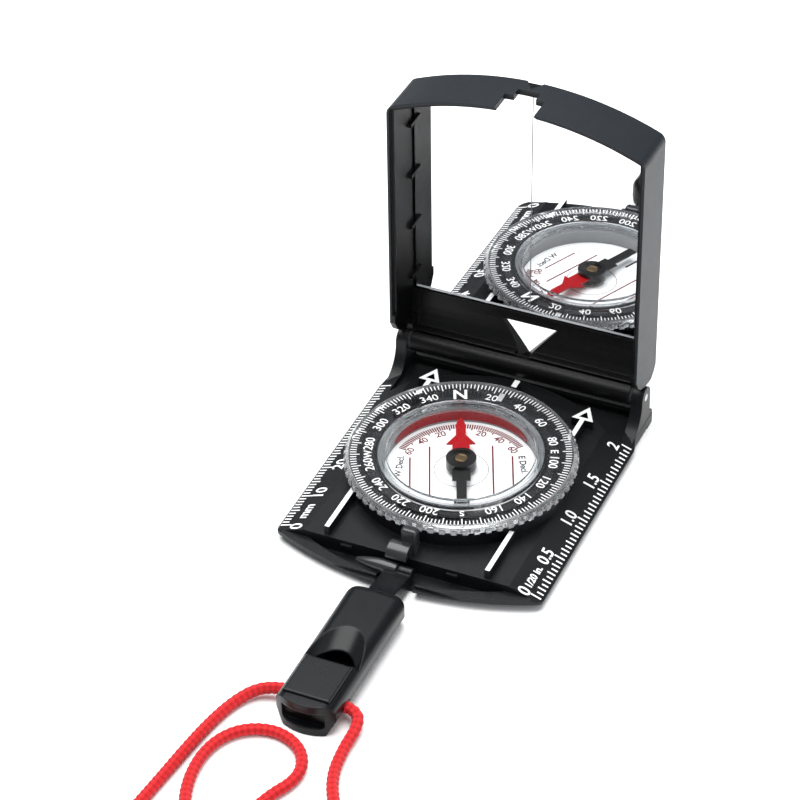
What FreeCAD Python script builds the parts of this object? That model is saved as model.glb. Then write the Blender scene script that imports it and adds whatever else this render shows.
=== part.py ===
"""Sighting compass: base plate, turning dial, floating needle, mirror lid and whistle on a lanyard.

Millimetres, +Z up. The origin is on the flat underside, on the axis of the dial; the lid's
hinge is towards +Y and the whistle towards -Y. At rest the lid stands open.
"""
import FreeCAD, Part
import math
import os

os.makedirs("parts", exist_ok=True)
V = FreeCAD.Vector

# ---- base plate ----
PLATE_HALF = 29.4        # half of the greatest width
FOOT_HALF = 28.1         # half of the width of the flat underside
PANEL_Z = 4.8            # top of the middle panel
STRIP_X = 22.5           # where the scale strip starts to slope down
TICK_X = 28.9            # outer end of the graduations
TICK_Z = 2.5
EDGE_Z = 2.1             # height of the thin outer edge
PANEL_FRONT = -28.6      # straight front edge of the panel
FRONT_Y = -35.0          # middle of the curved front rim
FRONT_CENTRE = 34.7      # centre of the front rim's arc
FRONT_FOOT_R = 67.4      # radius of that arc on the underside
REAR_Y = 37.0
REAR_FLOOR_Z = 2.4
SILL_Y = 34.2            # front of the sill behind the hinge
SILL_Z = 4.0
PANEL_R = 33.4           # round rear edge of the panel
LIP_Z = 3.1              # top of the front rim
TROUGH_Z = 1.3
NOTCH_HALF = 4.2
BORE_R = 17.38           # running clearance round the capsule
BOSS_R = 23.0
BOSS_Z = 8.6
MARK_Z = 7.0             # top of the direction ribs and the rear mark
RIB_X = 17.65
RIB_W = 1.1

# ---- hinge and lid; d runs from the hinge to the free end, e up from the rim ----
HINGE_Y = 33.0
HINGE_Z = 9.4
HINGE_E = 5.9            # the axis, above the plane of the rim
OPEN_DEG = 91.5          # from closed to the rest position
BARREL_R = 2.4
BARREL_HALF = 25.3
BAND_HALF = 27.6         # the band reaches into the side walls beyond the ears
EAR_IN = 25.9
EAR_OUT = 28.5
PIN_R = 0.8
LID_HALF = 28.2
LID_WALL = 1.3
LID_SIDE_D = 61.6        # where the side walls end
LID_END_D = 67.5         # middle of the curved end wall
LID_E = 13.0             # depth of the lid
LID_FLANGE_D = 2.5       # the side walls clear the hinge ears
MIRROR_E = 10.3          # face of the mirror
MIRROR_D = 10.5          # lower edge of the mirror
MIRROR_T = 1.0

# ---- dial, capsule and needle ----
NORTH_DEG = 23.6         # the dial's north lies this far to the left of the base's front
DIAL_TOP = 10.4
DIAL_R = 24.4
DIAL_Z = 8.9             # underside of the ring
KNURLS = 64
KNURL_DEPTH = 0.5
CAPSULE_R = 17.3
CAPSULE_IN = 16.0
CARD_Z = 5.9             # printed face of the meridian plate
NEEDLE_Z = 8.0
NEEDLE_L = 14.4

# ---- toggle and whistle ----
BAR_Y = -31.4
BAR_Z = 3.6
BAR_LEFT = -9.6
BAR_RIGHT = 2.1
BAR_R = 1.45             # in the middle of the bar
BAR_END_R = 0.5
NECK_HALF = 2.8
WHISTLE_HALF = 6.3
WHISTLE_TOP = 7.5
WHISTLE_Y0 = -40.9
WHISTLE_Y1 = -75.6
WINDOW_Y = -64.7
HOLE_Y = -70.5
HOLE_Z = 2.9

# ---- lanyard ----
CORD_R = 1.25
COIL_X, COIL_Y = -4.0, -145.0
COIL_OUT = 19.45
COIL_IN = 7.55
COIL_H = 5.1
LEFT_ROUTE = [(-6.3, -70.5, 2.9), (-9.4, -70.5, 2.5), (-12.8, -72.2, 1.9), (-15.2, -76.2, 1.4),
              (-16.8, -82.2, 1.3), (-17.9, -90.0, 1.3), (-18.8, -100.0, 1.3), (-20.2, -113.0, 1.3),
              (-21.9, -128.0, 1.3), (-22.2, -143.0, 1.3)]
RIGHT_ROUTE = [(6.3, -70.5, 2.9), (8.9, -70.9, 2.6), (9.9, -74.0, 1.9), (9.6, -79.5, 1.3),
               (10.6, -87.0, 1.3), (14.6, -94.5, 1.3), (19.5, -101.0, 1.3), (18.4, -108.5, 1.3),
               (12.6, -113.4, 1.3), (5.0, -112.7, 1.3), (0.3, -106.7, 1.3), (1.2, -97.7, 1.3),
               (5.4, -89.6, 1.3), (2.6, -82.6, 1.3), (-4.5, -79.7, 1.3), (-11.5, -82.7, 1.3),
               (-14.7, -89.6, 1.3), (-13.9, -99.1, 1.3), (-9.5, -108.6, 1.3), (-1.8, -117.0, 1.3),
               (6.8, -123.0, 1.3), (13.0, -131.5, 2.3), (14.2, -143.0, 3.8)]


def save(name, shape):
    """Write one node's STEP file and print its size."""
    if not shape.isValid() or shape.Volume <= 0:
        raise ValueError(name + " is not a sound solid")
    shape.exportStep("parts/" + name + ".step")
    print(name, len(shape.Solids), "solid,", round(shape.Volume, 2), "mm3")


def box(x0, x1, y0, y1, z0, z1):
    return Part.makeBox(x1 - x0, y1 - y0, z1 - z0, V(x0, y0, z0))


def disc(radius, z0, z1, x=0.0, y=0.0):
    return Part.makeCylinder(radius, z1 - z0, V(x, y, z0))


def ring(outer, inner, z0, z1):
    return disc(outer, z0, z1).cut(disc(inner, z0 - 1, z1 + 1))


def bar_x(radius, x0, x1, y, z):
    return Part.makeCylinder(radius, x1 - x0, V(x0, y, z), V(1, 0, 0))


def prism(corners, along):
    """A straight prism on a closed outline of corners, moved by the vector along."""
    face = Part.Face(Part.makePolygon(corners + [corners[0]]))
    return face.extrude(along)


def prism_z(points, z0, z1):
    return prism([V(x, y, z0) for x, y in points], V(0, 0, z1 - z0))


def prism_x(points, x0, x1):
    """An outline in Y and Z, extruded along X."""
    return prism([V(x0, y, z) for y, z in points], V(x1 - x0, 0, 0))


def arc_plan(half, y_side, y_mid, z0, z1, y_back, corner=0.0):
    """A plan outline with straight sides and back and an arched front, extruded upwards."""
    left = V(-half, y_side, z0)
    right = V(half, y_side, z0)
    edges = [Part.Arc(left, V(0, y_mid, z0), right).toShape(),
             Part.makeLine(right, V(half, y_back, z0)),
             Part.makeLine(V(half, y_back, z0), V(-half, y_back, z0)),
             Part.makeLine(V(-half, y_back, z0), left)]
    solid = Part.Face(Part.Wire(edges)).extrude(V(0, 0, z1 - z0))
    if corner:
        upright = [e for e in solid.Edges
                   if abs(e.Vertexes[0].Z - e.Vertexes[-1].Z) > 1e-3 and abs(e.Vertexes[0].Y - y_side) < 1e-3]
        solid = solid.makeFillet(corner, upright)
    return solid


# ------------------------------------------------------------------ base plate
def base_plate():
    """The moulded plate: scale strips, boss, marks, front trough and notch, hinge ears and rear sill."""
    half = [(FOOT_HALF, 0.0), (PLATE_HALF, 1.8), (PLATE_HALF, EDGE_Z), (TICK_X, TICK_Z), (STRIP_X, PANEL_Z)]
    section = [(-x, z) for x, z in half] + half[::-1]
    slab = prism([V(x, -40, z) for x, z in section], V(0, 80, 0))
    outline = arc_plan(PLATE_HALF, -28.5, FRONT_Y, -1, 20, REAR_Y, corner=2.6)
    plate = slab.common(outline)
    flare = (FRONT_CENTRE - FRONT_Y - FRONT_FOOT_R) / 2.0
    plate = plate.common(Part.makeCone(FRONT_FOOT_R, FRONT_FOOT_R + 10 * flare, 10, V(0, FRONT_CENTRE, 0)))
    for side in (-1, 1):
        waist = [(side * 29.5, 23.5), (side * 28.55, 27.0), (side * 28.55, 40), (side * 31, 40), (side * 31, 23.5)]
        plate = plate.cut(prism_z(waist, -1, 9))

    # the front rim is lower than the panel, rounds down outwards, and has the trough behind it
    front = box(-40, 40, -40, PANEL_FRONT, LIP_Z, 9)
    plate = plate.cut(front)
    trough = arc_plan(21.5, PANEL_FRONT, FRONT_Y + 1.4, TROUGH_Z, 9, PANEL_FRONT + 0.001)
    plate = plate.cut(trough)
    rim_slope = arc_plan(60, -26.5, FRONT_Y + 1.0, 0, 9, 60)
    slope = box(-40, 40, -40, PANEL_FRONT, 2.3, 9).cut(rim_slope)
    plate = plate.cut(slope)
    plate = plate.cut(box(-NOTCH_HALF, NOTCH_HALF, -40, -32.6, -1, 9))
    plate = plate.fuse(box(-14.3, -11.9, PANEL_FRONT - 0.5, PANEL_FRONT + 0.5, 3.2, 4.0))
    plate = plate.fuse(box(9.0, 11.4, PANEL_FRONT - 0.5, PANEL_FRONT + 0.5, 3.2, 4.0))

    # behind its round edge the panel drops to the rear floor, and a sill closes the back
    rear = box(-EAR_IN, EAR_IN, 20, 40, REAR_FLOOR_Z, 9).cut(disc(PANEL_R, 0, 10))
    plate = plate.cut(rear)
    sill = box(-EAR_OUT, EAR_OUT, SILL_Y, REAR_Y, 0, SILL_Z)
    upper = [e for e in sill.Edges if e.BoundBox.XLength > 9 and e.BoundBox.ZMin > SILL_Z - 0.1]
    plate = plate.fuse(sill.makeFillet(1.0, upper))

    plate = plate.fuse(disc(BOSS_R, PANEL_Z - 1, BOSS_Z))
    for side in (-1, 1):
        plate = plate.fuse(direction_rib(side))
        plate = plate.fuse(hinge_ear(side))
    plate = plate.fuse(box(-0.7, 0.7, 28.4, 31.0, PANEL_Z - 1, MARK_Z))

    plate = plate.cut(disc(BORE_R, -1, 12))
    plate = plate.cut(disc(19.4, -1, 2.3))
    return plate.removeSplitter()


def direction_rib(side):
    """A raised direction line with an open arrowhead at its rear end."""
    x = side * RIB_X
    z0 = PANEL_Z - 1
    tip = 28.2
    rib = box(x - RIB_W / 2, x + RIB_W / 2, PANEL_FRONT + 0.3, 24.2, z0, MARK_Z)
    head = prism_z([(x - 2.5, 23.6), (x + 2.5, 23.6), (x, tip)], z0, MARK_Z)
    eye = prism_z([(x - 1.1, 24.4), (x + 1.1, 24.4), (x, 26.4)], PANEL_Z, MARK_Z + 1)
    return rib.fuse(head).cut(eye)


def hinge_ear(side):
    """A cheek that rises from the side of the plate in a concave sweep to the hinge pin."""
    start = V(0, 23.4, 0.5)
    foot = V(0, 23.4, 2.6)
    top = V(0, HINGE_Y - BARREL_R, HINGE_Z)
    crown = V(0, HINGE_Y, HINGE_Z + BARREL_R)
    back = V(0, HINGE_Y + BARREL_R, HINGE_Z)
    low_back = V(0, HINGE_Y + BARREL_R, 0.5)
    edges = [Part.makeLine(start, foot),
             Part.Arc(foot, V(0, 28.6, 4.6), top).toShape(),
             Part.Arc(top, crown, back).toShape(),
             Part.makeLine(back, low_back),
             Part.makeLine(low_back, start)]
    cheek = Part.Face(Part.Wire(edges)).extrude(V(EAR_OUT - EAR_IN, 0, 0))
    cheek.translate(V(EAR_IN if side > 0 else -EAR_OUT, 0, 0))
    return cheek.cut(bar_x(PIN_R, -40, 40, HINGE_Y, HINGE_Z))


def hinge_pin(side):
    """A steel pin, pressed into the ear, that the barrel of the lid turns on."""
    x0 = 20.5 if side > 0 else -EAR_OUT
    return bar_x(PIN_R, x0, x0 + EAR_OUT - 20.5, HINGE_Y, HINGE_Z)


def friction_washer(side):
    """A thin washer between the ear and the end of the barrel, which holds the lid's angle."""
    x0 = BARREL_HALF + 0.06 if side > 0 else -EAR_IN
    washer = bar_x(2.2, x0, x0 + EAR_IN - BARREL_HALF - 0.06, HINGE_Y, HINGE_Z)
    return washer.cut(bar_x(PIN_R, -40, 40, HINGE_Y, HINGE_Z))


def catch_clip():
    """The upright post at the front of the dial, and the low arched tongue that holds the bar down."""
    post = box(-1.8, 1.8, -27.2, -25.0, PANEL_Z, 10.6)
    crown = [e for e in post.Edges if all(abs(v.Z - 10.6) < 1e-3 for v in e.Vertexes) or
             e.BoundBox.ZLength > 5]
    post = post.makeFillet(0.7, crown)
    x = -3.6
    edges = [Part.makeLine(V(x, -28.6, PANEL_Z), V(x, -25.6, PANEL_Z)),
             Part.makeLine(V(x, -25.6, PANEL_Z), V(x, -25.6, 5.6)),
             Part.Arc(V(x, -25.6, 5.6), V(x, -28.3, 7.7), V(x, -30.8, 5.6)).toShape(),
             Part.makeLine(V(x, -30.8, 5.6), V(x, -30.1, 5.2)),
             Part.Arc(V(x, -30.1, 5.2), V(x, -29.6, 6.1), V(x, -28.6, 6.7)).toShape(),
             Part.makeLine(V(x, -28.6, 6.7), V(x, -28.6, PANEL_Z))]
    tongue = Part.Face(Part.Wire(edges)).extrude(V(4.5, 0, 0))
    return post.fuse(tongue).removeSplitter()


def dial_friction_ring():
    """A rubber ring on the boss that gives the dial its drag."""
    return ring(19.8, 18.2, BOSS_Z, DIAL_Z - 0.06)


# ------------------------------------------------------------------ dial and capsule
def bezel_ring():
    """The clear turning ring: a thick plate for the degree scale inside a knurled rim."""
    step = 2 * math.pi / KNURLS
    points = []
    for i in range(KNURLS):
        for share, radius in ((0.04, DIAL_R), (0.50, DIAL_R), (0.56, DIAL_R - KNURL_DEPTH),
                              (0.98, DIAL_R - KNURL_DEPTH)):
            angle = (i + share) * step
            points.append((radius * math.cos(angle), radius * math.sin(angle)))
    body = prism_z(points, DIAL_Z, 10.9)
    body = body.common(Part.makeCone(DIAL_R + 1.0, DIAL_R - 1.0, 2.8, V(0, 0, 8.1)))
    return body.cut(disc(23.3, DIAL_TOP, 12)).cut(disc(CAPSULE_R + 0.02, 7, 12)).removeSplitter()


def capsule_base():
    """The clear cup of the capsule, whose floor lies under the meridian plate."""
    cup = disc(CAPSULE_R, 1.0, 9.9)
    cup = cup.cut(disc(CAPSULE_IN, CARD_Z - 0.5, 11))
    return cup.cut(disc(14.5, 0, 4.0))


def capsule_retaining_ring():
    """Snapped on the cup below the plate, it keeps the dial in its bore."""
    return ring(19.0, CAPSULE_R, 1.1, 2.0)


def meridian_plate():
    """The disc printed with the north lines and the declination scale."""
    return ring(CAPSULE_IN - 0.05, 0.9, CARD_Z - 0.5, CARD_Z)


def pivot_post():
    """The needle's pivot, set in the floor of the cup."""
    pin = Part.makeCone(0.9, 0.12, NEEDLE_Z - 0.25 - (CARD_Z - 0.5), V(0, 0, CARD_Z - 0.5))
    return pin


def capsule_seal():
    """The ring that seals the lens in the cup."""
    return ring(CAPSULE_IN, 15.1, 9.3, 9.7)


def capsule_lens():
    """The slightly domed window over the liquid."""
    dome = Part.makeSphere(200.0, V(0, 0, 11.1 - 200.0))
    return disc(15.6, 9.7, 12).common(dome)


def lens_rim():
    """The bright stepped rim that clamps the lens."""
    low = ring(CAPSULE_R, 15.65, 9.9, 10.7)
    high = ring(16.6, 15.65, 10.6, 11.2)
    return low.fuse(high).removeSplitter()


# ------------------------------------------------------------------ needle
def needle_north():
    """The red half: a broad arrow that steps in to a narrow tip."""
    outline = [(-1.8, 2.7), (1.8, 2.7), (1.8, 5.6), (3.05, 5.6), (1.05, 8.4), (1.05, 11.6), (0.85, 12.6),
               (0.0, NEEDLE_L), (-0.85, 12.6), (-1.05, 11.6), (-1.05, 8.4), (-3.05, 5.6), (-1.8, 5.6)]
    return prism_z(outline, NEEDLE_Z, NEEDLE_Z + 0.35)


def needle_south():
    """The black half: a block by the hub and a slim tail."""
    outline = [(-1.9, -2.7), (-1.9, -6.2), (-1.05, -6.2), (-1.05, -NEEDLE_L + 1.2), (1.05, -NEEDLE_L + 1.2),
               (1.05, -6.2), (1.9, -6.2), (1.9, -2.7)]
    return prism_z(outline, NEEDLE_Z, NEEDLE_Z + 0.35)


def needle_magnet():
    """The bar magnet under the hub."""
    return box(-1.3, 1.3, -2.6, 2.6, NEEDLE_Z - 0.8, NEEDLE_Z - 0.05).cut(disc(0.95, 0, 20))


def needle_hub():
    """The deep round cap that joins both halves and holds the jewel."""
    cap = disc(3.2, NEEDLE_Z - 1.0, NEEDLE_Z + 1.2)
    cap = cap.cut(disc(2.35, NEEDLE_Z + 0.9, 20)).cut(disc(1.25, 0, 20))
    return cap.cut(needle_north()).cut(needle_south()).cut(needle_magnet())


def needle_jewel():
    """The bearing cup that sits on the pivot."""
    cup = disc(1.25, NEEDLE_Z - 0.05, NEEDLE_Z + 1.15)
    return cup.cut(Part.makeCone(0.75, 0.2, 0.5, V(0, 0, NEEDLE_Z - 0.05)))


# ------------------------------------------------------------------ lid
def lid_block(half, side_d, end_d, e0, e1, start_d):
    """A block of the lid's plan: straight sides from the hinge and an arched free end."""
    left = V(-half, -side_d, e0)
    right = V(half, -side_d, e0)
    edges = [Part.Arc(left, V(0, -end_d, e0), right).toShape(),
             Part.makeLine(right, V(half, -start_d, e0)),
             Part.makeLine(V(half, -start_d, e0), V(-half, -start_d, e0)),
             Part.makeLine(V(-half, -start_d, e0), left)]
    return Part.Face(Part.Wire(edges)).extrude(V(0, 0, e1 - e0))


def lid_profile(points, half):
    """An outline in d and e, extruded across the lid."""
    return prism_x([(-d, e) for d, e in points], -half, half)


def open_lid(shape):
    """From the closed lid's own d and e to its place in the open lid."""
    shape = shape.copy()
    shape.translate(V(0, HINGE_Y, HINGE_Z - HINGE_E))
    shape.rotate(V(0, HINGE_Y, HINGE_Z), V(1, 0, 0), -OPEN_DEG)
    return shape


def band(start_d, offset):
    """The concave band between the mirror and the hinge, as points from the hinge outwards."""
    points = []
    for i in range(7):
        t = i / 6
        d = start_d + (MIRROR_D - start_d) * t
        e = 8.0 + 2.3 * t ** 0.75 + 0.5 * math.sin(math.pi * t)
        points.append((d, e + offset))
    return points


def lid_shell():
    """The box lid: walls, back, concave band with the sighting window, barrel and end notch."""
    shell = lid_block(LID_HALF, LID_SIDE_D, LID_END_D, 0, LID_E, LID_FLANGE_D)
    upright = [e for e in shell.Edges
               if abs(e.Vertexes[0].Z - e.Vertexes[-1].Z) > 1 and abs(e.Vertexes[0].Y + LID_SIDE_D) < 1e-3]
    shell = shell.makeFillet(2.2, upright)
    back_rim = [e for e in shell.Edges
                if all(abs(v.Z - LID_E) < 1e-3 for v in e.Vertexes) and e.BoundBox.YMin < -LID_FLANGE_D - 1]
    shell = shell.makeChamfer(1.1, back_rim)
    side = [(8.9, -1), (7.0, 0.35), (5.3, 1.3), (4.1, 2.7), (3.4, 4.4), (2.85, 5.8), (2.75, 7.0),
            (LID_FLANGE_D, 8.2), (LID_FLANGE_D, 9.4), (3.6, 11.0), (5.4, 12.3), (8.0, 14), (80, 14), (80, -1)]
    shell = shell.common(lid_profile(side, 40))

    cavity = lid_block(LID_HALF - LID_WALL, LID_SIDE_D - 1.0, LID_END_D - LID_WALL, -1, 11.7, 1.0)
    inside = [(2.9, -1), (80, -1), (80, 11.7), (MIRROR_D, 11.7)] + band(2.9, 0.0)[::-1]
    shell = shell.cut(cavity.common(lid_profile(inside, 40)))

    # hinge wall: thin behind the band, down to the barrel between the ears
    wall = lid_profile(band(2.9, 0.0) + [(MIRROR_D, 11.8), (8.6, 12.9), (5.0, 12.4), (1.6, 11.2),
                                         (-1.2, 9.2), (-BARREL_R, 7.2), (-BARREL_R, HINGE_E),
                                         (BARREL_R, HINGE_E), (BARREL_R, 7.4)], BARREL_HALF)
    barrel = bar_x(BARREL_R, -BARREL_HALF, BARREL_HALF, 0, HINGE_E)
    ends = lid_profile([(2.4, 5.6), (4.2, 5.6), (4.2, 8.8), (MIRROR_D, 10.3), (MIRROR_D, 11.8), (8.6, 12.9),
                        (5.0, 12.4), (2.4, 11.2)], BAND_HALF).cut(box(-BARREL_HALF, BARREL_HALF, -20, 5, 0, 20))
    shell = shell.fuse(wall).fuse(barrel).fuse(ends.common(lid_profile(side, 40)))

    # a shelf for the stepped lip inside the rim
    lip = lid_block(LID_HALF - 0.55, LID_SIDE_D - 0.4, LID_END_D - 0.55, -1, 0.85, 9.5)
    shell = shell.cut(lip)

    # sighting window: a triangle through the band, wider behind a thin web
    window = prism([V(-6.4, -8.3, 6), V(6.4, -8.3, 6), V(0, -0.9, 6)], V(0, 0, 10))
    wider = prism([V(-10.4, -9.9, 10.3), V(10.4, -9.9, 10.3), V(0, 3.5, 10.3)], V(0, 0, 5))
    shell = shell.cut(window).cut(wider.cut(lid_profile(band(-3.0, 1.1) + [(MIRROR_D, 0), (-3, 0)], 40)))

    # end wall: stepped notch for the strap, and the sighting groove
    notch = box(-4.3, 4.3, -70, -62.0, -1, 5.7).fuse(box(-2.4, 2.4, -70, -62.0, 5, 8.2))
    groove = prism([V(-3.2, -70, 14), V(3.0, -70, 14), V(0, -70, 9.0)], V(0, 3.6, 0))
    shell = shell.cut(notch).cut(groove)

    # ribs on the side walls that hold the glass
    for hand in (-1, 1):
        for d in (14.8, 27.7, 40.4, 53.0):
            x0 = LID_HALF - LID_WALL - 0.8 if hand > 0 else -(LID_HALF - LID_WALL + 0.1)
            shell = shell.fuse(box(x0, x0 + 0.9, -d - 0.45, -d + 0.45, 7.8, MIRROR_E - 0.05))

    for hand in (-1, 1):
        x0 = 20.4 if hand > 0 else -BARREL_HALF - 1
        shell = shell.cut(bar_x(PIN_R + 0.05, x0, x0 + BARREL_HALF - 19.4, 0, HINGE_E))
    return open_lid(shell.removeSplitter())


def mirror_glass():
    """The mirror, arched at its free end like the lid."""
    glass = lid_block(26.5, 59.5, 65.3, MIRROR_E, MIRROR_E + MIRROR_T, MIRROR_D + 0.05)
    lower = [e for e in glass.Edges if all(abs(v.Y + MIRROR_D + 0.05) < 1e-3 and
                                           abs(v.Z - MIRROR_E) < 1e-3 for v in e.Vertexes)]
    return open_lid(glass.makeChamfer(0.5, lower))


def mirror_pad():
    """The thin adhesive pad between the mirror and the back of the lid."""
    pad = lid_block(24.5, 57.5, 62.8, MIRROR_E + MIRROR_T, 11.7, MIRROR_D + 2)
    return open_lid(pad)


# ------------------------------------------------------------------ whistle and strap
def toggle_bar():
    """The bar that lies in the trough behind the front rim, thinner towards both ends."""
    middle = (BAR_LEFT + BAR_RIGHT) / 2
    left, right = V(BAR_LEFT, BAR_Y, BAR_Z), V(BAR_RIGHT, BAR_Y, BAR_Z)
    rise = V(0, 0, BAR_END_R)
    edges = [Part.makeLine(right, left),
             Part.makeLine(left, left + rise),
             Part.Arc(left + rise, V(middle, BAR_Y, BAR_Z + BAR_R), right + rise).toShape(),
             Part.makeLine(right + rise, right)]
    return Part.Face(Part.Wire(edges)).revolve(left, V(1, 0, 0), 360)


def whistle_neck():
    """The neck from under the toggle bar, through the notch, to the whistle."""
    outline = [(BAR_Y, 1.8), (BAR_Y, 3.8), (-33.4, 4.2), (WHISTLE_Y0 - 0.3, 5.6), (WHISTLE_Y0 - 0.3, 1.2), (-34.6, 1.2)]
    neck = prism_x(outline, -NECK_HALF, NECK_HALF)
    neck = neck.fuse(bar_x(1.2, -NECK_HALF, NECK_HALF, BAR_Y, BAR_Z))
    return neck.cut(toggle_bar()).cut(whistle_outer()).removeSplitter()


def whistle_outer():
    """The rounded outside of the whistle, from the strap's end to the mouth end."""
    half = WHISTLE_HALF
    front = WHISTLE_Y0 - 0.7
    edges = [Part.Arc(V(-half, front, 0), V(0, WHISTLE_Y0, 0), V(half, front, 0)).toShape(),
             Part.makeLine(V(half, front, 0), V(half, WHISTLE_Y1, 0)),
             Part.Arc(V(half, WHISTLE_Y1, 0), V(0, WHISTLE_Y1 - 2.2, 0), V(-half, WHISTLE_Y1, 0)).toShape(),
             Part.makeLine(V(-half, WHISTLE_Y1, 0), V(-half, front, 0))]
    outer = Part.Face(Part.Wire(edges)).extrude(V(0, 0, WHISTLE_TOP))
    upright = [e for e in outer.Edges if e.BoundBox.ZLength > 5 and e.BoundBox.YMin > WHISTLE_Y0 - 2]
    outer = outer.makeFillet(2.7, upright)
    top = [e for e in outer.Edges if e.BoundBox.ZMin > WHISTLE_TOP - 0.01 and e.BoundBox.YMax > WHISTLE_Y1 + 1]
    outer = outer.makeFillet(2.4, top)
    draft = [(-4.5, -1), (-4.5, 0), (-6.5, 3.7), (-6.5, 9), (6.5, 9), (6.5, 3.7), (4.5, 0), (4.5, -1)]
    outer = outer.common(prism([V(x, -90, z) for x, z in draft], V(0, 60, 0)))
    nose = [(WHISTLE_Y0 + 1, -1), (WHISTLE_Y0 + 1, 3.9), (WHISTLE_Y0 - 0.1, 2.6), (WHISTLE_Y0 - 2.2, -1)]
    return outer.cut(prism_x(nose, -9, 9))


def whistle_body():
    """The whistle's body: chamber, half-round window, sloping lip, windway and lanyard hole."""
    body = whistle_outer()
    body = body.cut(box(-4.2, 4.2, WINDOW_Y, -45.0, 1.3, 5.2))
    half_disc = disc(4.5, 1.3, 9, 0, WINDOW_Y).cut(box(-9, 9, -80, WINDOW_Y, 0, 10))
    body = body.cut(half_disc)
    slope = V(0, -6.0, -2.7).normalize()
    lift = V(0, -2.7, 6.0).normalize() * -7.0
    scoop = Part.makeCylinder(7.0, 24, V(0, -48.0, 10.2) - lift, slope)
    body = body.cut(scoop.common(box(-9, 9, WINDOW_Y + 0.5, -46, 4.0, 20)))
    # the mouth end: a seat for the block, the windway under it, and the recess round its mouth
    body = body.cut(box(-5.0, 5.0, WHISTLE_Y1 + 0.2, WINDOW_Y, 5.6, 9))
    body = body.cut(box(-3.9, 3.9, -80, WINDOW_Y + 0.1, 4.9, 5.61))
    recess = box(-4.5, 4.5, -80, WHISTLE_Y1 - 0.4, 1.8, 5.61)
    ends = [e for e in recess.Edges if e.BoundBox.YLength > 2 and e.BoundBox.ZMax < 2]
    body = body.cut(recess.makeFillet(1.2, ends))
    return body.cut(bar_x(1.6, -10, 10, HOLE_Y, HOLE_Z)).removeSplitter()


def whistle_mouth_block():
    """The block that roofs the windway and makes the edge of the window."""
    block = box(-4.95, 4.95, WHISTLE_Y1 + 0.25, WINDOW_Y, 5.61, WHISTLE_TOP + 0.45)
    top = [e for e in block.Edges if all(abs(v.Z - WHISTLE_TOP - 0.45) < 1e-3 for v in e.Vertexes)]
    return block.makeFillet(0.35, top)


# ------------------------------------------------------------------ lanyard
def corner_radius(before, corner, after):
    """The radius of the arc at a corner of the route, from its runs and its turn."""
    a = corner.sub(before)
    b = after.sub(corner)
    turn = a.getAngle(b)
    return 0.45 * min(a.Length, b.Length) / math.tan(turn / 2), turn


def cord_tube(route, name):
    """A round tube along straight runs joined by tangent arcs."""
    points = [V(*p) for p in route]
    edges = []
    radii = []
    last = points[0]
    for before, corner, after in zip(points, points[1:], points[2:]):
        radius, turn = corner_radius(before, corner, after)
        reach = radius * math.tan(turn / 2)
        a = before.sub(corner).normalize()
        b = after.sub(corner).normalize()
        start = corner + a * reach
        end = corner + b * reach
        middle = corner + (a + b).normalize() * (radius / math.cos(turn / 2) - radius)
        edges.append(Part.makeLine(last, start))
        edges.append(Part.Arc(start, middle, end).toShape())
        radii.append(round(radius, 1))
        last = end
    edges.append(Part.makeLine(last, points[-1]))
    path = Part.Wire(edges)
    section = Part.Wire(Part.makeCircle(CORD_R, points[0], points[1].sub(points[0])))
    tube = path.makePipeShell([section], True, False)
    expected = math.pi * CORD_R ** 2 * path.Length
    print(name, "length", round(path.Length, 1), "radii", radii, "volume share", round(tube.Volume / expected, 4))
    return tube


def lanyard_coil():
    """The outer shape of the put-away turns."""
    coil = disc(COIL_OUT, 0.05, COIL_H, COIL_X, COIL_Y)
    return coil.cut(disc(COIL_IN, -1, COIL_H + 1, COIL_X, COIL_Y))


def turned(shape):
    """Turn a dial or needle piece to the shown bearing."""
    shape = shape.copy()
    shape.rotate(V(0, 0, 0), V(0, 0, 1), NORTH_DEG)
    return shape


def main():
    save("base_plate", base_plate())
    for name, side in (("left", -1), ("right", 1)):
        save("hinge_pin_" + name, hinge_pin(side))
        save("friction_washer_" + name, friction_washer(side))
    save("catch_clip", catch_clip())
    save("dial_friction_ring", dial_friction_ring())

    save("bezel_ring", turned(bezel_ring()))
    save("capsule_base", capsule_base())
    save("capsule_retaining_ring", capsule_retaining_ring())
    save("meridian_plate", meridian_plate())
    save("pivot_post", pivot_post())
    save("capsule_seal", capsule_seal())
    save("capsule_lens", capsule_lens())
    save("lens_rim", lens_rim())

    save("needle_north", turned(needle_north()))
    save("needle_south", turned(needle_south()))
    save("needle_magnet", turned(needle_magnet()))
    save("needle_hub", turned(needle_hub()))
    save("needle_jewel", needle_jewel())

    save("lid_shell", lid_shell())
    save("mirror_glass", mirror_glass())
    save("mirror_pad", mirror_pad())

    save("toggle_bar", toggle_bar())
    save("whistle_neck", whistle_neck())
    save("whistle_body", whistle_body())
    save("whistle_mouth_block", whistle_mouth_block())

    save("lanyard_through", bar_x(CORD_R, -WHISTLE_HALF, WHISTLE_HALF, HOLE_Y, HOLE_Z))
    save("lanyard_left_run", cord_tube(LEFT_ROUTE, "lanyard_left_run"))
    save("lanyard_right_run", cord_tube(RIGHT_ROUTE, "lanyard_right_run"))
    save("lanyard_coil", lanyard_coil())


main()
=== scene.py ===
# %% [markdown]
# # A mirror sighting compass, lying open on a pale table
# The compass is a black moulded base plate with printed scales, a clear turning dial over a
# liquid capsule, a mirror lid that stands open on its hinge, and a whistle on a red lanyard.
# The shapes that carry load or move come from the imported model. This script gives them
# their finishes and adds what is printed, painted or braided.

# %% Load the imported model
import bpy
import math
from mathutils import Matrix, Vector


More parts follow.
